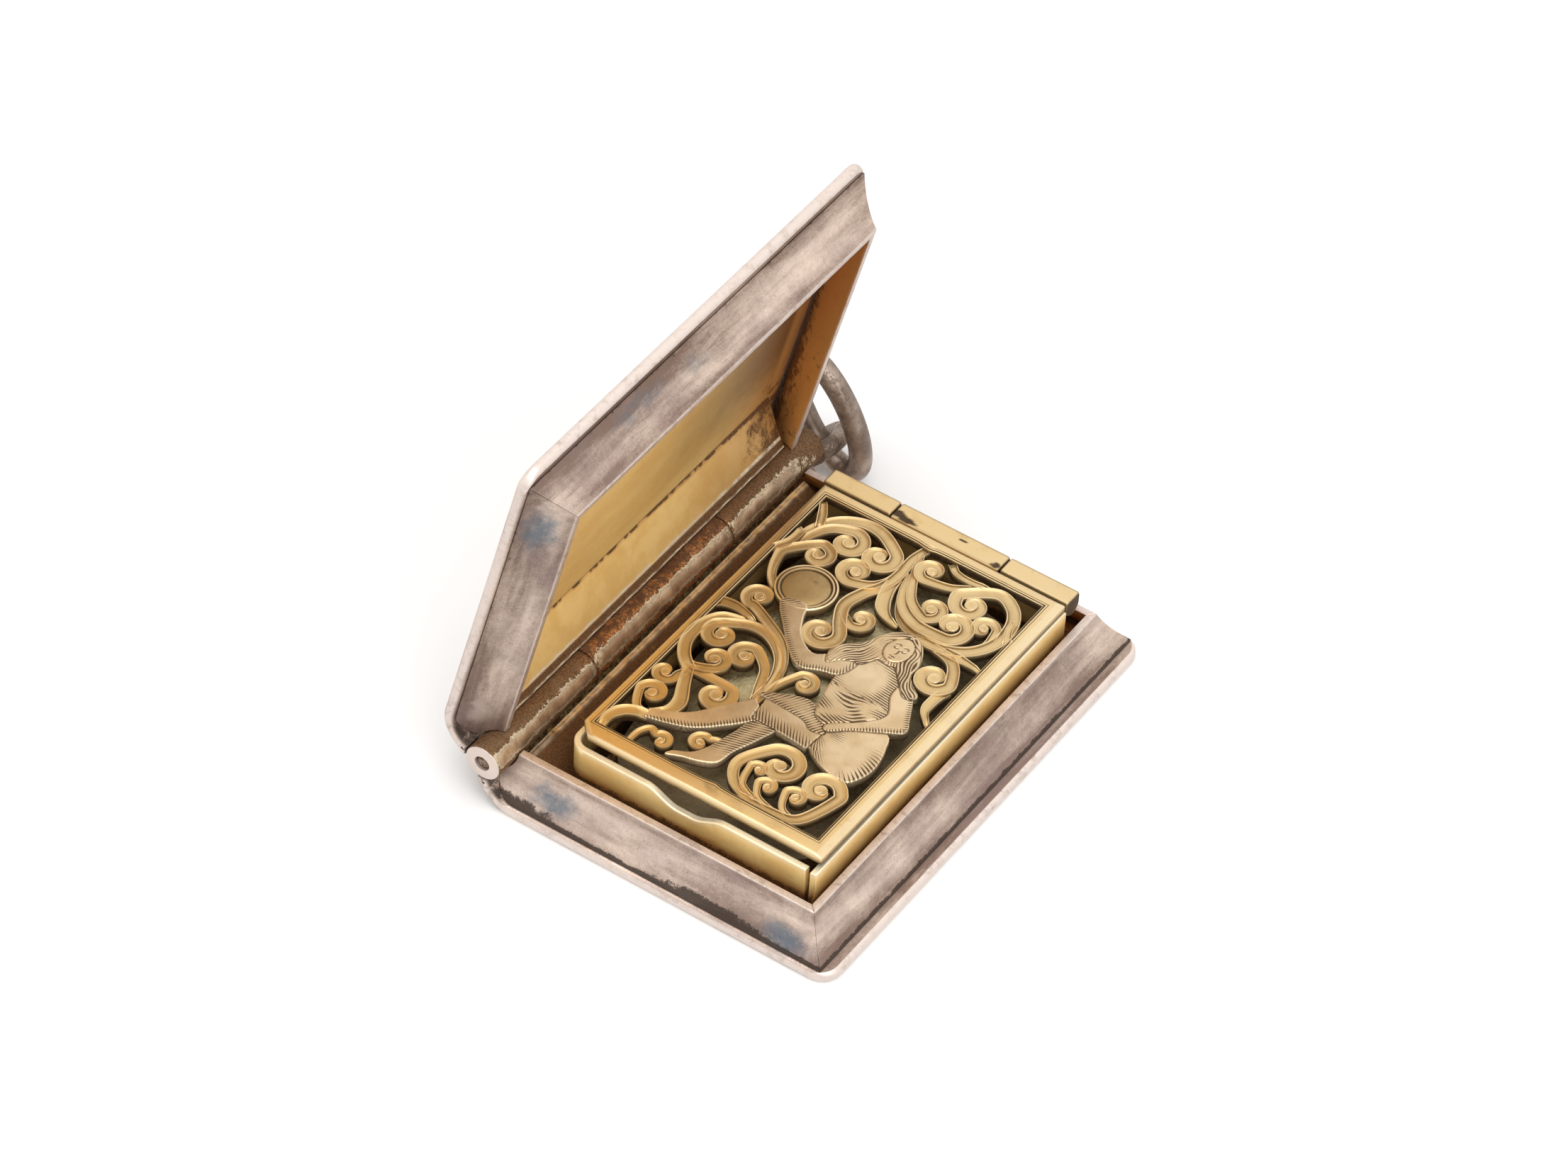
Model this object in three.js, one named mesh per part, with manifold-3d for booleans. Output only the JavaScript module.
// A silver and gilt vinaigrette in the form of a small closed book, standing open on its lower board.
// Sizes are millimetres. The hinge axis runs along Y; +X points to the fore-edge and +Z is up.
// The origin is the middle of the flat underside, where the box rests.
import * as THREE from "three";
import { mergeVertices } from "three/addons/utils/BufferGeometryUtils.js";
import Module from "manifold-3d";

const wasm = await Module();
wasm.setup();

// Boards, the two covers of the book
const BOARD_LENGTH = 32;
const BOARD_REACH = 23.3;
const BOARD_THICKNESS = 0.7;
const BOARD_EDGE_ROUND = 0.3;
const BOARD_CORNER_RADIUS = 1.3;
const HALF_HEIGHT = 3.2;
const SPINE_RADIUS = 2.4;
const SPINE_SETBACK = 0.4;

// Hollow walls between a board and the rim
const WALL_THICKNESS = 0.45;
const WALL_SPREAD = 1.55;
const WALL_HOLLOW_OUT = 0.5;
const WALL_HOLLOW_DOWN = 1.3;
const WALL_LIP = 0.06;
const END_LEDGE = 0.25;
const FORE_LEDGE = 0.75;

// Sloping strip that closes the hollow of the spine
const STRIP_THICKNESS = 0.4;
const STRIP_EDGE_X = 1.6;
const STRIP_EDGE_DEPTH = 0.95;
const LID_STRIP_FOOT_X = 4;

// Main hinge
const LID_OPEN_DEG = 76.85;
const HINGE_RADIUS = 1.13;
const PIN_RADIUS = 0.44;
const TAIL_KNUCKLE_LENGTH = 9.4;
const HEAD_KNUCKLE_LENGTH = 9.2;
const KNUCKLE_CHAMFER = 0.06;

// Gilt liner that holds the sponge
const LINER_SPINE_X = 3.5;
const LINER_FORE_GAP = 0.35;
const LINER_TAIL_GAP = 0.8;
const LINER_THICKNESS = 0.42;
const LINER_CORNER_RADIUS = 1.1;
const LINER_SEAM = 0.28;
const NOTCH_X = 7.9;
const NOTCH_WIDTH = 5.2;
const NOTCH_DEPTH = 0.75;

// Pierced grille and its own hinge
const GRILLE_THICKNESS = 0.5;
const GRILLE_HEADROOM = 0.63;
const GRILLE_SPINE_INSET = 0.2;
const GRILLE_FORE_INSET = 0.1;
const GRILLE_TAIL_INSET = 0.18;
const GRILLE_CORNER_CLIP = 0.8;
const GRILLE_AJAR_DEG = 0.55;
const BORDER_SPINE = 0.68;
const BORDER_FORE = 1.02;
const BORDER_TAIL = 1.15;
const BORDER_HEAD = 0.85;
const GRILLE_HINGE_RADIUS = 0.64;
const GRILLE_HINGE_ROOM = 0.3;
const GRILLE_PIN_RADIUS = 0.25;
const GRILLE_SIDE_KNUCKLE = 4.6;

// Scrolls of the grille, drawn in steps of a grid that fills the opening of its border
const GRID_ACROSS_STEPS = 14.7;
const GRID_ALONG_STEPS = 22.4;
const SCROLL_WIDTH_STEPS = 0.56;
const SCROLL_TIP_WIDTH_STEPS = 0.24;
const SCROLL_EYE_RADIUS_STEPS = 0.32;
const SCROLL_TURNS = 1.05;
const SCROLL_STEPS = 10;
const TAMBOURINE_RADIUS_STEPS = 1.87;

// Sponge
const SPONGE_EDGE_DROP = 1.1;
const SPONGE_INSET = 0.12;

// Eye at the head of the spine and the bail that hangs in it
const EYE_RADIUS = 1.45;
const EYE_WIRE_RADIUS = 0.56;
const EYE_X = 0.05;
const EYE_DEPTH = 1.35;
const BAIL_LENGTH = 8.2;
const BAIL_WIDTH = 3.5;
const BAIL_WIRE_RADIUS = 0.7;
const BAIL_LEAN_DEG = 29;
const BAIL_THREAD_DEG = 215;

// Clearances
const SEAM = 0.02;
const RIM_GAP = 0.025;
const HINGE_GAP = 0.06;
const KNUCKLE_GAP = 0.08;
const PIN_GAP = 0.05;
const GRILLE_GAP = 0.05;
const SPONGE_GAP = 0.3;

// Sizes that follow from the others
const HALF_BOARD = BOARD_LENGTH / 2;
const HALF_RIM = HALF_BOARD - END_LEDGE - WALL_SPREAD;
const RIM_REACH = BOARD_REACH - FORE_LEDGE - WALL_SPREAD;
const FLOOR_DEPTH = HALF_HEIGHT - BOARD_THICKNESS;
const SPINE_X = SPINE_RADIUS - SPINE_SETBACK;
const SPINE_DEPTH = HALF_HEIGHT - SPINE_RADIUS;
const FLAT_MIDDLE_X = (SPINE_X + BOARD_REACH) / 2;
const GRILLE_TOP = FLOOR_DEPTH - GRILLE_HEADROOM;
const GRILLE_SEAT = GRILLE_TOP - GRILLE_THICKNESS;
const GRILLE_HINGE_Z = GRILLE_TOP - GRILLE_HINGE_RADIUS;
const GRILLE_HINGE_Y = HALF_RIM - WALL_THICKNESS - GRILLE_HINGE_ROOM - GRILLE_HINGE_RADIUS;
const LINER_TOP = GRILLE_SEAT - GRILLE_GAP;
const LINER_FORE_X = RIM_REACH - WALL_THICKNESS - LINER_FORE_GAP;
const LINER_TAIL_Y = LINER_TAIL_GAP + WALL_THICKNESS - HALF_RIM;
const LINER_HEAD_Y = GRILLE_HINGE_Y - GRILLE_HINGE_RADIUS - GRILLE_GAP - SEAM;
const GRILLE_SPINE_X = LINER_SPINE_X + GRILLE_SPINE_INSET;
const GRILLE_FORE_X = LINER_FORE_X - GRILLE_FORE_INSET;
const GRILLE_TAIL_Y = LINER_TAIL_Y + LINER_THICKNESS + GRILLE_TAIL_INSET;
const GRILLE_HEAD_Y = LINER_HEAD_Y - GRILLE_GAP;
const FIELD_X = GRILLE_SPINE_X + BORDER_SPINE;
const FIELD_Y = GRILLE_TAIL_Y + BORDER_TAIL;
const FIELD_WIDTH = GRILLE_FORE_X - BORDER_FORE - FIELD_X;
const FIELD_LENGTH = GRILLE_HEAD_Y - BORDER_HEAD - FIELD_Y;
const FAR = 4 * BOARD_LENGTH;

const silver = { color: 0xb3a59e, roughness: 0.38, metalness: 1 };
const wornSilver = { color: 0x8e8178, roughness: 0.5, metalness: 1 };
const gilt = { color: 0xd2a960, roughness: 0.34, metalness: 1 };
const brightGilt = { color: 0xdfbb78, roughness: 0.3, metalness: 1 };
const steel = { color: 0x4a4642, roughness: 0.6, metalness: 1 };
const spongeLook = { color: 0xb2a377, roughness: 0.95, metalness: 0 };

// A three.js geometry as a closed solid that can be joined and cut
function solid(geometry) {
  const bare = new THREE.BufferGeometry();
  bare.setAttribute("position", geometry.getAttribute("position"));
  bare.setIndex(geometry.getIndex());
  const merged = mergeVertices(bare, 1e-5);
  const vertProperties = merged.getAttribute("position").array;
  const triVerts = new Uint32Array(merged.getIndex().array);
  return new wasm.Manifold(new wasm.Mesh({ numProp: 3, vertProperties, triVerts }));
}

// A named mesh of one solid, with a material of its own
function part(name, body, look) {
  const mesh = body.getMesh();
  const geometry = new THREE.BufferGeometry();
  geometry.setAttribute("position", new THREE.BufferAttribute(mesh.vertProperties, 3));
  geometry.setIndex(new THREE.BufferAttribute(mesh.triVerts, 1));
  geometry.computeVertexNormals();
  const made = new THREE.Mesh(geometry, new THREE.MeshStandardMaterial(look));
  made.name = name;
  return made;
}

function outline(points) {
  return new THREE.Shape(points.map(([x, y]) => new THREE.Vector2(x, y)));
}

function disc(x, y, radius) {
  return new THREE.Shape().absarc(x, y, radius, 0, 2 * Math.PI);
}

function bored(shape, radius) {
  shape.holes.push(new THREE.Path().absarc(0, 0, radius, 0, 2 * Math.PI, true));
  return shape;
}

// Bevel settings that round an edge and keep the outline and the length
function edge(size, steps) {
  const bevel = { bevelThickness: size, bevelSize: size, bevelOffset: -size };
  return { ...bevel, bevelEnabled: true, bevelSegments: steps };
}

// Extrusions along the three axes; a shape's two axes are x z, y z and x y in that order
function extruded(shape, length, options) {
  const bevel = options.bevelThickness ?? 0;
  const settings = { bevelEnabled: false, curveSegments: 10, ...options, depth: length - 2 * bevel };
  return new THREE.ExtrudeGeometry(shape, settings).translate(0, 0, bevel);
}

function alongY(shape, from, to, options = {}) {
  return solid(extruded(shape, to - from, options).rotateX(Math.PI / 2).translate(0, to, 0));
}

function alongX(shape, from, to, options = {}) {
  const turn = new THREE.Matrix4().makeBasis(
    new THREE.Vector3(0, 1, 0),
    new THREE.Vector3(0, 0, 1),
    new THREE.Vector3(1, 0, 0),
  );
  return solid(extruded(shape, to - from, options).applyMatrix4(turn).translate(from, 0, 0));
}

function alongZ(shape, from, to, options = {}) {
  return solid(extruded(shape, to - from, options).translate(0, 0, from));
}

function boxBetween([x0, y0, z0], [x1, y1, z1]) {
  const geometry = new THREE.BoxGeometry(x1 - x0, y1 - y0, z1 - z0);
  return solid(geometry.translate((x0 + x1) / 2, (y0 + y1) / 2, (z0 + z1) / 2));
}

function rodY(radius, from, to) {
  const geometry = new THREE.CylinderGeometry(radius, radius, to - from, 24);
  return solid(geometry.translate(0, (from + to) / 2, 0));
}

// A board with its spine edge rolled up to the hinge; side is -1 below the rim plane and 1 above it
function board(side) {
  const round = Math.min(BOARD_EDGE_ROUND, 0.43 * BOARD_THICKNESS);
  const corner = BOARD_CORNER_RADIUS;
  const plan = new THREE.Shape();
  plan.moveTo(0, -HALF_BOARD);
  plan.lineTo(BOARD_REACH - corner, -HALF_BOARD);
  plan.absarc(BOARD_REACH - corner, corner - HALF_BOARD, corner, -Math.PI / 2, 0);
  plan.absarc(BOARD_REACH - corner, HALF_BOARD - corner, corner, 0, Math.PI / 2);
  plan.lineTo(0, HALF_BOARD);
  const low = Math.min(side * HALF_HEIGHT, side * FLOOR_DEPTH);
  const sheet = alongZ(plan, low, low + BOARD_THICKNESS, { ...edge(round, 3), curveSegments: 6 });
  const flat = sheet.subtract(boxBetween([-FAR, -FAR, -FAR], [SPINE_X, FAR, FAR]));

  const inner = SPINE_RADIUS - BOARD_THICKNESS;
  const overlap = SPINE_X + 2 * round;
  const roll = new THREE.Shape();
  roll.moveTo(overlap, side * HALF_HEIGHT);
  roll.lineTo(SPINE_X, side * HALF_HEIGHT);
  roll.absarc(SPINE_X, side * SPINE_DEPTH, SPINE_RADIUS, (side * Math.PI) / 2, Math.PI, side < 0);
  roll.absarc(SPINE_X, side * SPINE_DEPTH, inner, Math.PI, (side * Math.PI) / 2, side > 0);
  roll.lineTo(overlap, side * FLOOR_DEPTH);
  const spine = alongY(roll, -HALF_BOARD, HALF_BOARD, { ...edge(round, 3), curveSegments: 5 });
  return flat.add(spine).subtract(rodY(HINGE_RADIUS + HINGE_GAP, -FAR, FAR));
}

// Section of a hollow wall; place turns the distance out from the rim into a coordinate
function wallSection(side, place) {
  const rim = side * RIM_GAP;
  const foot = side * (FLOOR_DEPTH - SEAM);
  const lip = side * (FLOOR_DEPTH - SEAM - WALL_LIP);
  const bend = side * WALL_HOLLOW_DOWN;
  const profile = new THREE.Path();
  profile.moveTo(0, rim);
  profile.quadraticCurveTo(WALL_HOLLOW_OUT, bend, WALL_SPREAD, lip);
  profile.lineTo(WALL_SPREAD, foot);
  profile.lineTo(WALL_SPREAD - WALL_THICKNESS, foot);
  profile.quadraticCurveTo(WALL_HOLLOW_OUT - WALL_THICKNESS, bend, -WALL_THICKNESS, rim);
  return outline(profile.getPoints(8).map((p) => [place(p.x), p.y]));
}

// What lies beyond the mitre of a fore corner; end is -1 at the tail and 1 at the head
function beyondMitre(end, ofForeWall) {
  const gap = ofForeWall ? -SEAM : SEAM;
  const reach = 2 * WALL_SPREAD + WALL_THICKNESS;
  const side = ofForeWall ? -reach : reach;
  const wedge = outline([
    [RIM_REACH - reach, end * (HALF_RIM - reach + gap)],
    [RIM_REACH + reach, end * (HALF_RIM + reach + gap)],
    [RIM_REACH + side, end * (HALF_RIM - side + gap)],
  ]);
  return alongZ(wedge, -FAR, FAR);
}

function foreWall(side) {
  const length = HALF_RIM + WALL_SPREAD + WALL_THICKNESS;
  const bar = alongY(wallSection(side, (out) => RIM_REACH + out), -length, length);
  return bar.subtract(beyondMitre(-1, true)).subtract(beyondMitre(1, true));
}

// A head or tail wall, trimmed to the inside of the rolled spine and clear of the hinge
function endWall(side, end) {
  const section = wallSection(side, (out) => end * (HALF_RIM + out));
  const bar = alongX(section, 0, RIM_REACH + WALL_SPREAD + WALL_THICKNESS);
  const inner = SPINE_RADIUS - BOARD_THICKNESS - SEAM;
  const room = new THREE.Shape();
  room.moveTo(FAR, side * FAR);
  room.lineTo(SPINE_X, side * FAR);
  room.lineTo(SPINE_X, side * (SPINE_DEPTH + inner));
  room.absarc(SPINE_X, side * SPINE_DEPTH, inner, (side * Math.PI) / 2, Math.PI, side < 0);
  room.lineTo(SPINE_X - inner, -side * HALF_HEIGHT);
  room.lineTo(FAR, -side * HALF_HEIGHT);
  const trimmed = bar.intersect(alongY(room, -FAR, FAR)).subtract(beyondMitre(end, false));
  return trimmed.subtract(rodY(HINGE_RADIUS + KNUCKLE_GAP, -FAR, FAR));
}

// The sloping strip inside the spine, from the floor up beside the hinge
function spineStrip(side, footX) {
  const foot = FLOOR_DEPTH - SEAM;
  const slope = Math.atan2(foot - STRIP_EDGE_DEPTH, footX - STRIP_EDGE_X);
  const across = STRIP_THICKNESS * Math.sin(slope);
  const down = STRIP_THICKNESS * Math.cos(slope);
  const section = outline([
    [footX, side * foot],
    [STRIP_EDGE_X, side * STRIP_EDGE_DEPTH],
    [STRIP_EDGE_X - across, side * (STRIP_EDGE_DEPTH + down)],
    [footX - STRIP_THICKNESS / Math.sin(slope), side * foot],
  ]);
  const half = HALF_RIM - WALL_THICKNESS - SEAM;
  const inner = SPINE_RADIUS - BOARD_THICKNESS - SEAM;
  const well = rodY(inner, -FAR, FAR).translate([SPINE_X, 0, side * SPINE_DEPTH]);
  const flat = boxBetween([SPINE_X, -FAR, -FAR], [FAR, FAR, FAR]);
  return alongY(section, -half, half).intersect(well.add(flat));
}

function knuckle(from, to) {
  const tube = bored(disc(0, 0, HINGE_RADIUS), PIN_RADIUS + PIN_GAP);
  return alongY(tube, from, to, edge(KNUCKLE_CHAMFER, 1));
}

// The liner is one strip bent to a rectangle, open at the fore and tail corner
function liner() {
  const t = LINER_THICKNESS;
  const r = LINER_CORNER_RADIUS;
  const end = LINER_FORE_X - t - LINER_SEAM;
  const plan = new THREE.Shape();
  plan.moveTo(end, LINER_TAIL_Y);
  plan.lineTo(LINER_SPINE_X + r, LINER_TAIL_Y);
  plan.absarc(LINER_SPINE_X + r, LINER_TAIL_Y + r, r, -Math.PI / 2, Math.PI, true);
  plan.lineTo(LINER_SPINE_X, LINER_HEAD_Y);
  plan.lineTo(LINER_FORE_X, LINER_HEAD_Y);
  plan.lineTo(LINER_FORE_X, LINER_TAIL_Y);
  plan.lineTo(LINER_FORE_X - t, LINER_TAIL_Y);
  plan.lineTo(LINER_FORE_X - t, LINER_HEAD_Y - t);
  plan.lineTo(LINER_SPINE_X + t, LINER_HEAD_Y - t);
  plan.lineTo(LINER_SPINE_X + t, LINER_TAIL_Y + r);
  plan.absarc(LINER_SPINE_X + r, LINER_TAIL_Y + r, r - t, Math.PI, (3 * Math.PI) / 2, false);
  plan.lineTo(end, LINER_TAIL_Y + t);
  const wall = alongZ(plan, SEAM - FLOOR_DEPTH, LINER_TOP, { curveSegments: 5 });

  const middle = LINER_SPINE_X + NOTCH_X;
  const half = NOTCH_WIDTH / 2;
  const bottom = LINER_TOP - NOTCH_DEPTH;
  const notch = new THREE.Shape();
  notch.moveTo(middle - half, LINER_TOP + NOTCH_DEPTH);
  notch.lineTo(middle - half, LINER_TOP);
  notch.bezierCurveTo(middle - half / 2, LINER_TOP, middle - half / 2, bottom, middle, bottom);
  notch.bezierCurveTo(middle + half / 2, bottom, middle + half / 2, LINER_TOP, middle + half, LINER_TOP);
  notch.lineTo(middle + half, LINER_TOP + NOTCH_DEPTH);
  return wall.subtract(alongY(notch, LINER_TAIL_Y - t, LINER_TAIL_Y + 2 * t));
}

// A ribbon of sheet along a smooth line, its width running evenly through the given widths
function ribbon(points, widths) {
  const line = new THREE.SplineCurve(points.map(([x, y]) => new THREE.Vector2(x, y)));
  const steps = points.length * 2;
  const left = [];
  const right = [];
  for (let i = 0; i <= steps; i += 1) {
    const along = i / steps;
    const place = (widths.length - 1) * along;
    const before = Math.min(Math.floor(place), widths.length - 2);
    const half = THREE.MathUtils.lerp(widths[before], widths[before + 1], place - before) / 2;
    const p = line.getPoint(along);
    const t = line.getTangent(along);
    left.push([p.x - t.y * half, p.y + t.x * half]);
    right.unshift([p.x + t.y * half, p.y - t.x * half]);
  }
  return outline([...left, ...right]);
}

// A smooth closed outline through the points
function rounded(points) {
  const line = new THREE.CatmullRomCurve3(points.map(([x, y]) => new THREE.Vector3(x, y, 0)), true);
  return outline(line.getPoints(points.length * 3).slice(1).map((p) => [p.x, p.y]));
}

// A round outline with more steps than a scroll's eye
function rim(x, y, radius) {
  const line = new THREE.EllipseCurve(x, y, radius, radius);
  return outline(line.getPoints(40).slice(1).map((p) => [p.x, p.y]));
}

// A volute: a stem that winds in around its eye; hand is 1 anticlockwise and -1 clockwise
function volute([x, y], radius, fromDeg, hand, stem) {
  const turns = Math.min(SCROLL_TURNS, SCROLL_TURNS * (0.4 + 0.7 * radius));
  const width = Math.min(SCROLL_WIDTH_STEPS, 0.7 * radius);
  const eye = SCROLL_EYE_RADIUS_STEPS;
  const coil = [];
  for (let i = 0; i <= SCROLL_STEPS; i += 1) {
    const along = i / SCROLL_STEPS;
    const angle = THREE.MathUtils.degToRad(fromDeg + hand * 360 * turns * along);
    const r = THREE.MathUtils.lerp(radius, eye / 2, along ** 1.4);
    coil.push([x + r * Math.cos(angle), y + r * Math.sin(angle)]);
  }
  return [ribbon([...stem, ...coil], [width, width, SCROLL_TIP_WIDTH_STEPS]), disc(x, y, eye)];
}

// Places on the grille are counted in steps of its grid from the corner at the spine and the tail
// Scrolls of the head end, round the tambourine and to the right of the middle stem
const headScrolls = [
  volute([5.17, 20.15], 1, 60, -1, [[0.57, 18.4], [0.72, 19.8], [1.52, 21.1], [2.82, 21.85], [4.22, 21.85]]),
  volute([3.12, 20.05], 0.98, 110, -1, [[0.72, 18.2], [0.97, 19.3], [1.62, 20.4]]),
  volute([2.27, 18.2], 0.85, 120, -1, [[1.82, 14.6], [1.02, 15.4], [0.57, 16.5], [0.57, 17.5]]),
  volute([4.77, 18.35], 0.9, -75, -1, [[6.77, 20], [6.57, 18.8], [6.02, 17.95]]),
  volute([5.87, 13.25], 1.05, 20, -1, [
    [6.97, 22.5], [6.72, 21.3], [6.82, 19.8], [6.67, 18.4], [6.02, 17.1], [5.72, 15.8], [6.22, 14.6],
  ]),
  volute([7.12, 15.35], 0.75, -130, 1, [[5.77, 16.4], [5.87, 15.5]]),
  volute([9.87, 18.4], 0.8, -100, 1, [[6.92, 21.8], [7.42, 20.5], [7.92, 19.4], [8.62, 18.3]]),
  volute([11.57, 17.95], 1.1, -100, 1, [[7.42, 20.2], [7.77, 18.8], [8.52, 17.6], [9.82, 16.9]]),
  volute([11.47, 20.05], 1, 150, 1, [
    [7.82, 18.5], [8.82, 16.9], [10.42, 16.2], [12.12, 16.2], [13.52, 17], [14.27, 18.4], [14.22, 20],
    [13.52, 21.2], [12.22, 21.7],
  ]),
  volute([8.22, 20.95], 0.8, -70, -1, [[12.22, 21.65], [10.82, 21.25], [9.72, 20.5]]),
  volute([13.07, 18.9], 0.72, 10, 1, [[13.12, 16.9], [13.82, 17.8]]),
];

// Scrolls beside the dancer and at the tail end
const tailScrolls = [
  volute([13.02, 13.95], 1, 10, -1, [[10.22, 16.2], [11.82, 16.05], [13.22, 15.5]]),
  volute([1.57, 13.45], 0.85, -75, -1, [[5.97, 6.6], [5.92, 8.6], [5.52, 10], [4.52, 11.2], [3.22, 11.95]]),
  volute([1.52, 9.7], 0.9, 130, 1, [[5.82, 6.6], [5.82, 8.6], [5.12, 10.2], [3.82, 11.15], [2.42, 11.25]]),
  volute([3.57, 9.05], 0.85, 60, 1, [[5.92, 6.5], [5.52, 7.6], [5.02, 8.9]]),
  volute([2.37, 7.85], 0.78, -80, 1, [[0.82, 7.1], [1.62, 6.85]]),
  volute([0.72, 5.45], 0.72, 20, -1, [[1.12, 6.8], [1.47, 6.2]]),
  volute([4.02, 5.6], 0.95, 70, -1, [[1.32, 6.6], [2.62, 6.6]]),
  volute([1.07, 3.65], 0.75, 190, -1, [[1.82, 2.3], [0.92, 2.4]]),
  volute([3.72, 0.85], 0.45, 150, -1, [[2.02, -0.1], [2.12, 1.1], [2.72, 1.5]]),
  volute([5.42, 2.1], 0.62, 60, 1, [[6.52, 2.7], [6.12, 2.9]]),
  volute([7.47, 9.25], 0.72, 150, -1, [[6.02, 6.6], [6.17, 8.2]]),
  volute([9.97, 3.25], 1.3, 150, -1, [[10.02, 0.2], [8.52, 0.9], [7.92, 2.2]]),
  volute([9.17, 2.25], 0.5, 180, -1, [[10.22, 0.45], [9.02, 1]]),
  volute([10.27, 1.5], 0.55, 180, -1, [[11.42, 0.35], [10.22, 0.7]]),
  volute([12.82, 3.05], 1.15, -10, 1, [[9.22, 0.2], [11.12, 0.15], [13.02, 0.5]]),
  volute([11.97, 1.75], 0.62, 175, -1, [[12.82, 0.4], [11.82, 0.75]]),
];

// Leaves that tie the scrolls to the border
const leaves = [
  ribbon([[6.82, 19.4], [7.07, 18.1], [7.52, 17], [8.22, 16.4], [9.02, 16.2]], [0.6, 0.7, 0.15]),
  ribbon([[8.72, 22.3], [9.42, 21.7], [10.52, 21.6], [11.62, 21.8]], [0.4, 0.3]),
  ribbon([[14.07, 13.6], [13.92, 12.4], [14.02, 11.5], [14.72, 10.7]], [0.55, 0.5, 0.2]),
  ribbon([[12.02, 16.1], [13.22, 16.1], [14.82, 15.95]], [0.5, 0.5, 0.2]),
  ribbon([[2.42, 11.5], [0.82, 10.9], [0.17, 9.6], [0.22, 8.2], [0.82, 7.1], [1.62, 6.5]], [0.5, 0.62, 0.6]),
  ribbon([[1.52, 6.5], [2.12, 5.2], [2.72, 3.9], [2.52, 2.9], [1.72, 2.4]], [0.5, 0.7, 0.4]),
  ribbon([[1.82, 2.2], [0.72, 1.7], [0.22, 0.9], [0.22, -0.1]], [0.6, 0.6, 0.4]),
  ribbon([[1.02, 20.2], [0.62, 21.1], [0.02, 22.1]], [0.4, 0.45, 0.3]),
  ribbon([[-0.18, 11.8], [0.92, 12], [2.42, 11.7]], [0.6, 0.5, 0.2]),
  ribbon([[0.42, 19.6], [0.37, 18.2], [-0.18, 17.1]], [0.4, 0.4]),
  ribbon([[14.22, 20.8], [14.02, 19.8], [14.82, 18.6]], [0.3, 0.4]),
];

// The dancer leans back and holds the tambourine up behind the head
const dancer = [
  rim(3.27, 15.6, TAMBOURINE_RADIUS_STEPS),
  rounded([
    [2.62, 14], [4.02, 12.2], [5.52, 10.7], [6.52, 10.2], [7.52, 10.6],
    [8.72, 11.1], [8.92, 12.8], [7.62, 12.4],
    [6.52, 11.55], [5.22, 12.3], [4.52, 13.5], [4.02, 14.5],
  ]),
  rounded([
    [7.92, 12.2], [7.57, 13], [8.32, 13.8], [8.82, 14.9], [9.52, 15.9],
    [10.32, 16.25], [11.22, 15.8], [11.72, 14.6],
    [12.12, 13.4], [12.82, 12.5], [12.92, 11.6], [11.62, 12.2],
  ]),
  rounded([
    [8.72, 13.4], [8.47, 11.8], [8.52, 10.4], [8.82, 9], [9.32, 7.6], [10.62, 7.4], [12.22, 8.6],
    [12.62, 10.4], [12.42, 12.4], [11.42, 13.7], [10.02, 13.9],
  ]),
  rounded([
    [12.02, 12.8], [12.92, 12], [13.72, 10.5], [14.12, 9.45], [13.12, 8.7], [11.62, 7.8], [10.52, 6.9],
    [10.22, 7.4], [11.62, 8.6], [12.52, 9.9], [11.82, 11.4],
  ]),
  rounded([
    [9.22, 7.8], [10.82, 7.9], [13.22, 8.8], [13.92, 7.8], [14.27, 6.2], [14.02, 5], [13.42, 4.3],
    [12.02, 4.5], [10.82, 5.1], [9.82, 6],
  ]),
  rounded([[5.92, 6.9], [6.62, 7.6], [8.02, 8.4], [9.02, 8.1], [9.82, 7], [8.02, 6.6]]),
  ribbon([[10.42, 6.3], [8.32, 6.4], [6.52, 6.2]], [2.3, 2.2, 1.7]),
  ribbon([[6.62, 6.2], [5.42, 4.7], [3.92, 3.1], [1.62, 2.1]], [1.7, 1.6, 1.2, 0.6]),
  rounded([
    [6.92, 5.8], [8.22, 5.6], [7.92, 4.2], [7.32, 2.6], [7.07, 1.4], [6.22, 0.85], [5.22, 0.55],
    [4.37, 0.2], [4.52, 0.65], [5.42, 1.2], [5.92, 2], [6.42, 3.8],
  ]),
];

// The grille is one pierced sheet: a border, the scrolls and the dancer
function grillePlate() {
  const clip = GRILLE_CORNER_CLIP;
  const edges = [
    [GRILLE_SPINE_X + clip, GRILLE_TAIL_Y],
    [GRILLE_FORE_X, GRILLE_TAIL_Y],
    [GRILLE_FORE_X, GRILLE_HEAD_Y],
    [GRILLE_SPINE_X, GRILLE_HEAD_Y],
    [GRILLE_SPINE_X, GRILLE_TAIL_Y + clip],
  ];
  const border = outline(edges);
  border.holes.push(outline([
    [FIELD_X, FIELD_Y],
    [FIELD_X, FIELD_Y + FIELD_LENGTH],
    [FIELD_X + FIELD_WIDTH, FIELD_Y + FIELD_LENGTH],
    [FIELD_X + FIELD_WIDTH, FIELD_Y],
  ]));
  const sheet = (shape) => alongZ(shape, GRILLE_SEAT, GRILLE_TOP);
  const across = FIELD_WIDTH / GRID_ACROSS_STEPS;
  const along = FIELD_LENGTH / GRID_ALONG_STEPS;
  const onGrid = (p) => [FIELD_X + p.x * across, FIELD_Y + p.y * along];
  const placed = (shape) => sheet(outline(shape.getPoints(8).map(onGrid)));
  const pieces = [...headScrolls.flat(), ...tailScrolls.flat(), ...leaves, ...dancer];
  const joined = pieces.reduce((plate, shape) => plate.add(placed(shape)), sheet(border));
  return joined.intersect(sheet(outline(edges)));
}

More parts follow.
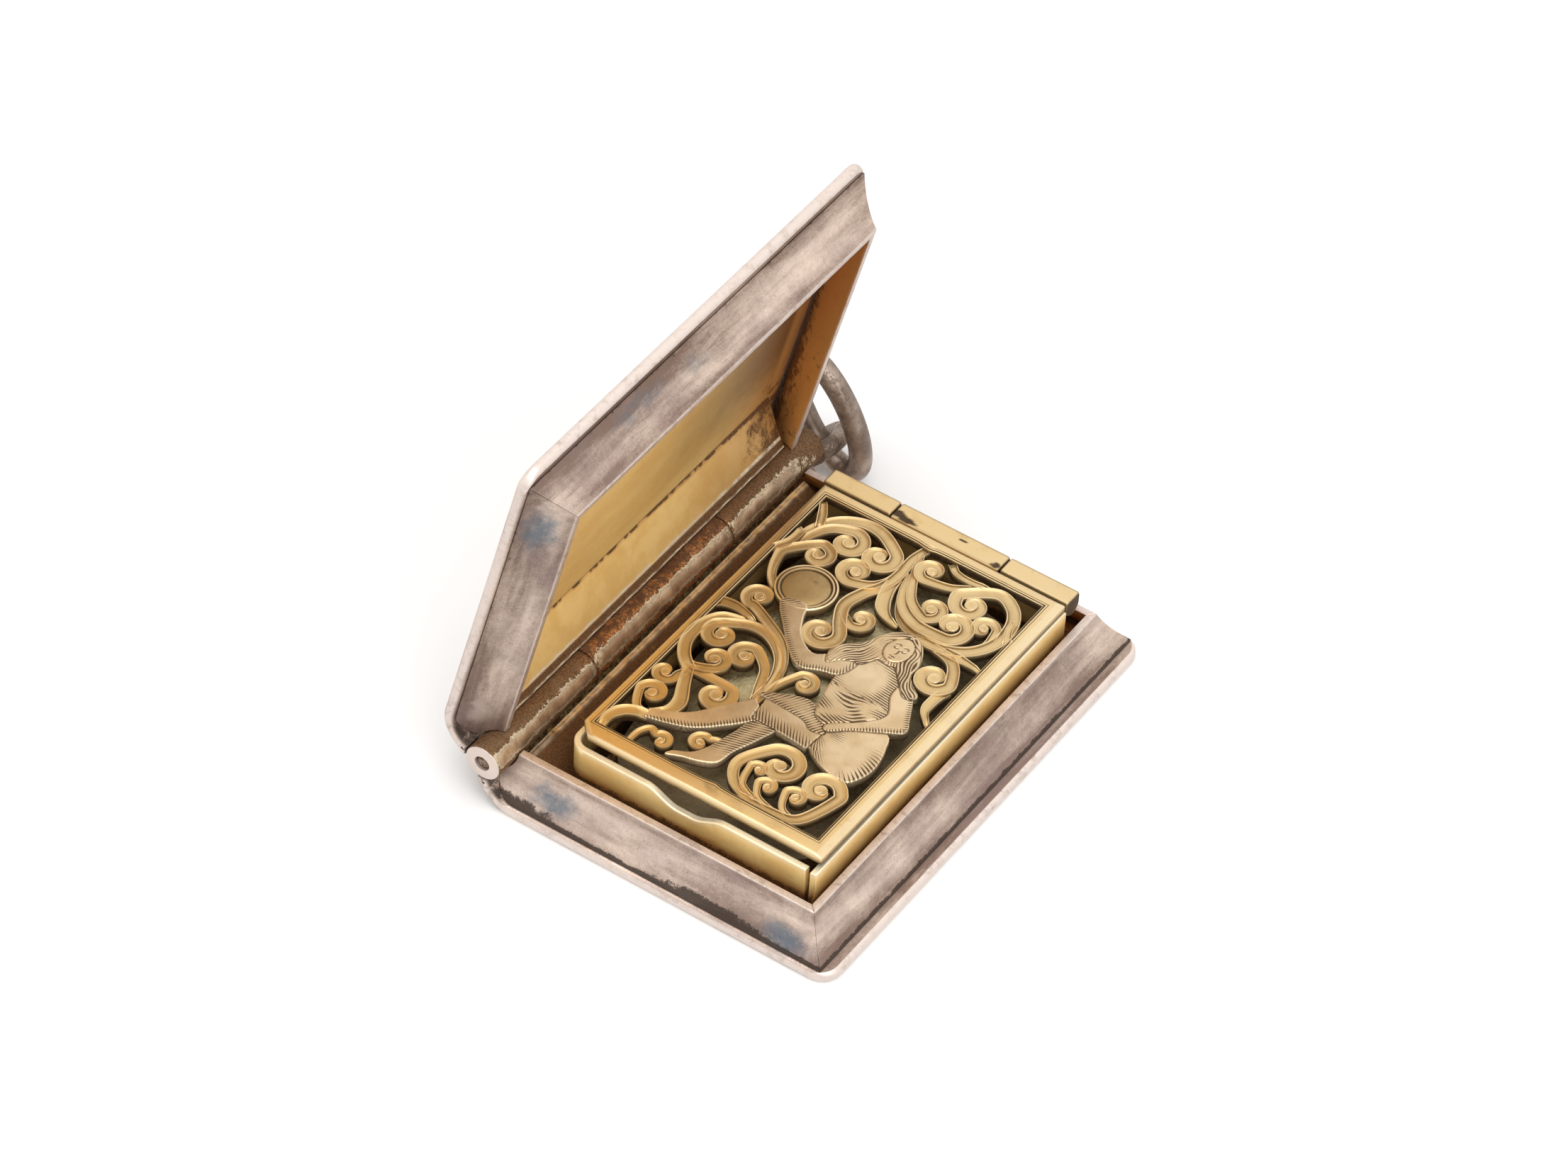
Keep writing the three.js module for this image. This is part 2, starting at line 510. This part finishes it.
// A ring of round wire whose middle line is an oval in its X Y plane
function ovalRing(length, width, wire) {
  const geometry = new THREE.TorusGeometry(1, 0.25, 10, 40);
  const at = geometry.getAttribute("position");
  const p = new THREE.Vector3();
  for (let i = 0; i < at.count; i += 1) {
    p.fromBufferAttribute(at, i);
    const around = Math.atan2(p.y, p.x);
    const section = Math.atan2(p.z, Math.hypot(p.x, p.y) - 1);
    const line = new THREE.Vector2((width / 2) * Math.cos(around), (length / 2) * Math.sin(around));
    const out = new THREE.Vector2(length * Math.cos(around), width * Math.sin(around)).normalize();
    line.addScaledVector(out, wire * Math.cos(section));
    at.setXYZ(i, line.x, line.y, wire * Math.sin(section));
  }
  return geometry;
}

// A soft pad, highest in the middle, with its sides drawn in
function sponge() {
  const gap = LINER_THICKNESS + SPONGE_GAP;
  const low = [LINER_SPINE_X + gap, LINER_TAIL_Y + gap, SPONGE_GAP - FLOOR_DEPTH];
  const high = [LINER_FORE_X - gap, LINER_HEAD_Y - gap, LINER_TOP - SPONGE_GAP];
  const size = high.map((value, axis) => value - low[axis]);
  const geometry = new THREE.BoxGeometry(...size, 12, 16, 4);
  const at = geometry.getAttribute("position");
  for (let i = 0; i < at.count; i += 1) {
    const u = (2 * at.getX(i)) / size[0];
    const v = (2 * at.getY(i)) / size[1];
    const w = at.getZ(i) / size[2] + 0.5;
    const drop = SPONGE_EDGE_DROP * (1 - (1 - u ** 6) * (1 - v ** 6));
    const inset = 1 - (2 * SPONGE_INSET * (2 * w - 1) ** 2) / size[0];
    at.setXYZ(i, at.getX(i) * inset, at.getY(i) * inset, at.getZ(i) - drop * w);
  }
  const middle = low.map((value, axis) => (value + high[axis]) / 2);
  return solid(geometry.translate(...middle));
}

const hinge = new THREE.Group();
hinge.position.set(-FLAT_MIDDLE_X, 0, HALF_HEIGHT);

// Base: lower board, walls, spine strip, middle knuckle, pin, liner and sponge
const tailKnuckleEnd = TAIL_KNUCKLE_LENGTH - HALF_BOARD;
const headKnuckleStart = HALF_BOARD - HEAD_KNUCKLE_LENGTH;
hinge.add(
  part("base_board", board(-1), silver),
  part("base_fore_edge_wall", foreWall(-1), silver),
  part("base_head_wall", endWall(-1, 1), silver),
  part("base_tail_wall", endWall(-1, -1), silver),
  part("base_spine_strip", spineStrip(-1, LINER_SPINE_X - SEAM), gilt),
  part("base_knuckle", knuckle(tailKnuckleEnd + KNUCKLE_GAP, headKnuckleStart - KNUCKLE_GAP), wornSilver),
  part("hinge_pin", rodY(PIN_RADIUS, -HALF_BOARD, HALF_BOARD), steel),
  part("liner", liner(), gilt),
  part("sponge", sponge(), spongeLook),
);

// Lid: the same half mirrored in the rim plane and swung open about the hinge
const lid = new THREE.Group();
lid.rotation.y = -THREE.MathUtils.degToRad(LID_OPEN_DEG);
lid.add(
  part("lid_board", board(1), silver),
  part("lid_fore_edge_wall", foreWall(1), silver),
  part("lid_head_wall", endWall(1, 1), silver),
  part("lid_tail_wall", endWall(1, -1), silver),
  part("lid_spine_strip", spineStrip(1, LID_STRIP_FOOT_X), gilt),
  part("lid_tail_knuckle", knuckle(-HALF_BOARD, tailKnuckleEnd), wornSilver),
  part("lid_head_knuckle", knuckle(headKnuckleStart, HALF_BOARD - KNUCKLE_GAP), wornSilver),
);
hinge.add(lid);

// A knuckle of the grille hinge about the X axis: a leaf bent round the pin, flat on top
function bentLeaf(from, to) {
  const r = GRILLE_HINGE_RADIUS;
  const bevel = r / 4;
  const section = new THREE.Shape();
  section.moveTo(-r, r - bevel);
  section.lineTo(-r, 0);
  section.absarc(0, 0, r, Math.PI, 2 * Math.PI);
  section.lineTo(r, r - bevel);
  section.lineTo(r - bevel, r);
  section.lineTo(bevel - r, r);
  return alongX(bored(section, GRILLE_PIN_RADIUS + PIN_GAP), from, to);
}

// Two knuckles and the pin stay with the liner
const spineKnuckleEnd = LINER_SPINE_X + GRILLE_SIDE_KNUCKLE;
const foreKnuckleStart = LINER_FORE_X - GRILLE_SIDE_KNUCKLE;
const onLiner = [0, GRILLE_HINGE_Y, GRILLE_HINGE_Z];
const grillePin = alongX(disc(0, 0, GRILLE_PIN_RADIUS), LINER_SPINE_X, LINER_FORE_X);
hinge.add(
  part("grille_spine_knuckle", bentLeaf(LINER_SPINE_X, spineKnuckleEnd).translate(onLiner), brightGilt),
  part("grille_fore_knuckle", bentLeaf(foreKnuckleStart, LINER_FORE_X).translate(onLiner), brightGilt),
  part("grille_pin", grillePin.translate(onLiner), steel),
);

// Grille: the pierced plate and its middle knuckle, a little ajar about the grille hinge
const grille = new THREE.Group();
grille.position.set(...onLiner);
grille.rotation.x = -THREE.MathUtils.degToRad(GRILLE_AJAR_DEG);
const middleFrom = spineKnuckleEnd + KNUCKLE_GAP;
const middleTo = foreKnuckleStart - KNUCKLE_GAP;
const web = boxBetween(
  [middleFrom, GRILLE_HEAD_Y + SEAM - GRILLE_HINGE_Y, GRILLE_SEAT - GRILLE_HINGE_Z],
  [middleTo, -(GRILLE_HINGE_RADIUS + GRILLE_PIN_RADIUS + PIN_GAP) / 2, GRILLE_TOP - GRILLE_HINGE_Z],
);
const plate = grillePlate().translate([0, -GRILLE_HINGE_Y, -GRILLE_HINGE_Z]);
grille.add(
  part("grille_plate", plate, brightGilt),
  part("grille_knuckle", bentLeaf(middleFrom, middleTo).add(web), brightGilt),
);
hinge.add(grille);

// Eye at the head end of the spine, cut flat where it is soldered on
const eyeY = HALF_BOARD + EYE_RADIUS;
const lean = THREE.MathUtils.degToRad(BAIL_LEAN_DEG);
const thread = THREE.MathUtils.degToRad(BAIL_THREAD_DEG);
const threadX = (BAIL_WIDTH / 2) * Math.cos(thread);
const threadZ = (BAIL_LENGTH / 2) * Math.sin(thread);
const wireSlope = Math.atan2(BAIL_LENGTH * Math.cos(thread), -BAIL_WIDTH * Math.sin(thread));
const eyeRing = new THREE.TorusGeometry(EYE_RADIUS, EYE_WIRE_RADIUS, 10, 28);
eyeRing.rotateY(Math.PI / 2 - wireSlope - lean);
eyeRing.translate(EYE_X, eyeY, -EYE_DEPTH);
const behind = boxBetween([-FAR, -FAR, -FAR], [FAR, HALF_BOARD + SEAM, FAR]);
hinge.add(part("pendant_eye", solid(eyeRing).subtract(behind), wornSilver));

// Bail: an oval ring threaded through the eye and leaning beside the lid
const bail = new THREE.Group();
bail.position.set(EYE_X, eyeY, -EYE_DEPTH);
bail.rotation.y = -lean;
const bailRing = ovalRing(BAIL_LENGTH, BAIL_WIDTH, BAIL_WIRE_RADIUS);
bailRing.translate(-threadX, -threadZ, 0);
bailRing.rotateX(Math.PI / 2);
bail.add(part("pendant_bail", solid(bailRing), wornSilver));
hinge.add(bail);

const vinaigrette = new THREE.Group();
vinaigrette.add(hinge);

export default vinaigrette;
